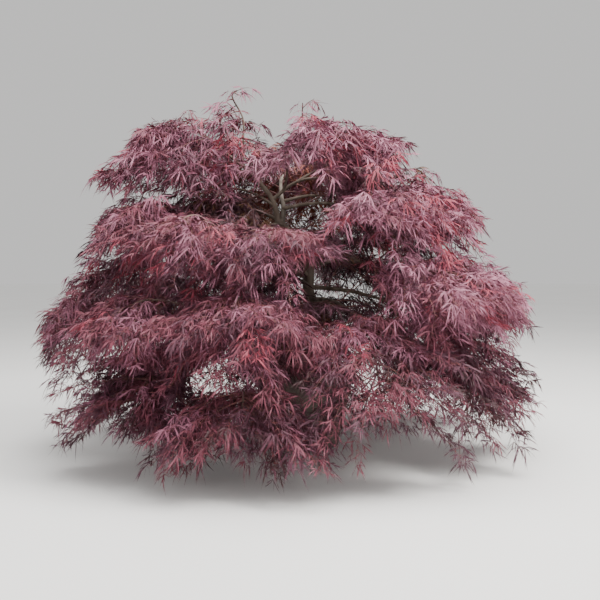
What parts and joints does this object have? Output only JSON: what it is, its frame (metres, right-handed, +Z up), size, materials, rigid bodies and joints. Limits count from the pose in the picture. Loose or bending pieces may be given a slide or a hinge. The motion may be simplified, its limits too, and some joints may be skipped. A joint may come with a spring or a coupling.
{
  "type": "potted japanese maple",
  "caption": "Weeping ornamental tree with finely cut dark red leaves in drooping tiers on arching boughs, growing in a plain tapered clay pot.",
  "frame": {"origin": "centre of the pot's flat underside", "axes": "+Z up, -Y towards the side that the picture shows, +X to that side's right"},
  "size_m": [2.2335, 2.0195, 1.5501],
  "materials": {
    "bark": "rough grey-brown bark",
    "foliage": "soft matt burgundy leaves",
    "pot": "dark unglazed fired clay",
    "soil": "dark crumbly potting soil"
  },
  "bodies": {
    "root": {"pot": "pot", "soil": "soil", "trunk": "bark", "stem_left": "bark", "stem_right": "bark", "bough_left_spray": "bark", "bough_leader": "bark", "bough_right_upper": "bark", "bough_top_right": "bark", "bough_top_centre": "bark", "bough_left_upper": "bark", "bough_left_front": "bark", "bough_front": "bark", "bough_front_right": "bark", "bough_right_back": "bark", "bough_back_left": "bark", "bough_back": "bark", "bough_left_outer": "bark", "bough_left_front_low": "bark", "bough_front_low": "bark", "bough_right_outer": "bark", "bough_right_front": "bark", "bough_right_back_low": "bark", "bough_back_left_low": "bark", "bough_skirt_left_front": "bark", "bough_skirt_left": "bark", "bough_skirt_right_front": "bark", "bough_skirt_right": "bark", "bough_skirt_back_right": "bark", "bough_skirt_back": "bark", "bough_skirt_back_left": "bark", "foliage_top_left": "foliage", "foliage_top_back": "foliage", "foliage_left_spray": "foliage", "foliage_leader": "foliage", "foliage_top_right": "foliage", "foliage_top_centre": "foliage", "foliage_left_upper": "foliage", "foliage_left_front": "foliage", "foliage_front": "foliage", "foliage_front_right": "foliage", "foliage_right_upper": "foliage", "foliage_right_back": "foliage", "foliage_back_left": "foliage", "foliage_back": "foliage", "foliage_left_outer": "foliage", "foliage_left_front_low": "foliage", "foliage_front_low": "foliage", "foliage_right_outer": "foliage", "foliage_right_front": "foliage", "foliage_right_back_low": "foliage", "foliage_back_left_low": "foliage", "foliage_skirt_left_front": "foliage", "foliage_skirt_left": "foliage", "foliage_skirt_right_front": "foliage", "foliage_skirt_right": "foliage", "foliage_skirt_back_right": "foliage", "foliage_skirt_back": "foliage", "foliage_skirt_back_left": "foliage"}
  },
  "joints": []
}
